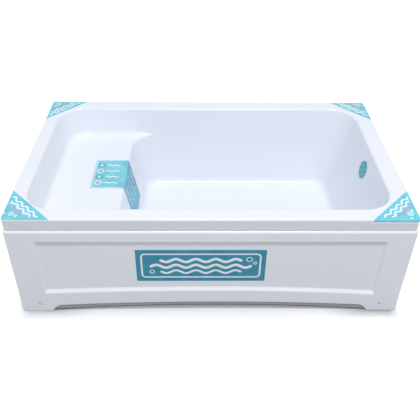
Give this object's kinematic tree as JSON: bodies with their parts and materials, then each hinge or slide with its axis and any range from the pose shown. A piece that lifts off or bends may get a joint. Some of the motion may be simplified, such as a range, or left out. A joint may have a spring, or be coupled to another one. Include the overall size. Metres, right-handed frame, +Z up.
{
  "type": "bathtub",
  "caption": "Short acrylic bathtub with a raised seat at one end, a deep rounded well, an arched front panel and a steel underframe on screw feet.",
  "frame": {"origin": "middle of the footprint, on the floor", "axes": "+X from the seat end to the drain end, +Y from the front panel to the wall, +Z up"},
  "size_m": [1.2, 0.7, 0.3805],
  "materials": {
    "shell_acrylic": "gloss white sanitary acrylic",
    "fibreglass": "sprayed glass fibre and resin, unpolished",
    "chipboard": "raw chipboard",
    "batten_wood": "planed softwood",
    "frame_paint": "light grey powder coat",
    "zinc_steel": "bright zinc plate",
    "black_plastic": "moulded black plastic",
    "panel_acrylic": "gloss white moulded sheet",
    "strip_plastic": "satin grey strip",
    "sticker_turquoise": "printed film, bare of text",
    "label_teal": "printed film, bare of text",
    "label_cyan": "printed film, bare of text"
  },
  "bodies": {
    "tub": {"tub_shell": "shell_acrylic", "shell_reinforcement": "fibreglass", "base_board": "chipboard", "seat_board": "chipboard", "rim_batten_front": "batten_wood", "rim_batten_back": "batten_wood", "rim_batten_seat_end": "batten_wood", "rim_batten_drain_end": "batten_wood", "frame_rail_front": "frame_paint", "frame_rail_back": "frame_paint", "frame_cross_rail_seat_end": "frame_paint", "frame_cross_rail_seat_edge": "frame_paint", "frame_cross_rail_riser": "frame_paint", "frame_cross_rail_middle": "frame_paint", "frame_cross_rail_drain_end": "frame_paint", "rim_post_front_left": "frame_paint", "rim_post_back_left": "frame_paint", "rim_post_front_right": "frame_paint", "rim_post_back_right": "frame_paint", "seat_post_wall_front": "frame_paint", "seat_post_wall_back": "frame_paint", "seat_post_edge_front": "frame_paint", "seat_post_edge_back": "frame_paint", "rail_end_caps": "black_plastic", "foot_lock_nuts": "zinc_steel", "foot_bearing_nuts": "zinc_steel", "base_board_screws": "zinc_steel", "seat_board_screws": "zinc_steel", "rim_batten_screws": "zinc_steel", "panel_clips": "zinc_steel", "panel_clip_screws": "zinc_steel", "panel_bracket_left": "zinc_steel", "panel_bracket_right": "zinc_steel", "panel_bracket_screws": "zinc_steel", "panel_screws": "zinc_steel", "front_panel": "panel_acrylic", "panel_edge_strip": "strip_plastic", "corner_sticker_front_left": "sticker_turquoise", "corner_sticker_front_right": "sticker_turquoise", "corner_sticker_back_left": "sticker_turquoise", "corner_sticker_back_right": "sticker_turquoise", "overflow_sticker": "sticker_turquoise", "front_label": "label_teal", "seat_label": "label_cyan"},
    "foot_front_left": {"foot_pad_front_left": "black_plastic", "foot_stud_front_left": "zinc_steel"},
    "foot_back_left": {"foot_pad_back_left": "black_plastic", "foot_stud_back_left": "zinc_steel"},
    "foot_front_right": {"foot_pad_front_right": "black_plastic", "foot_stud_front_right": "zinc_steel"},
    "foot_back_right": {"foot_pad_back_right": "black_plastic", "foot_stud_back_right": "zinc_steel"}
  },
  "joints": [
    {"name": "foot_screw_front_left", "type": "slide", "parent": "tub", "child": "foot_front_left", "axis": [0, 0, 1], "range_m": [-0.02, 0.004]},
    {"name": "foot_screw_back_left", "type": "slide", "parent": "tub", "child": "foot_back_left", "axis": [0, 0, 1], "range_m": [-0.02, 0.004]},
    {"name": "foot_screw_front_right", "type": "slide", "parent": "tub", "child": "foot_front_right", "axis": [0, 0, 1], "range_m": [-0.02, 0.004]},
    {"name": "foot_screw_back_right", "type": "slide", "parent": "tub", "child": "foot_back_right", "axis": [0, 0, 1], "range_m": [-0.02, 0.004]}
  ]
}
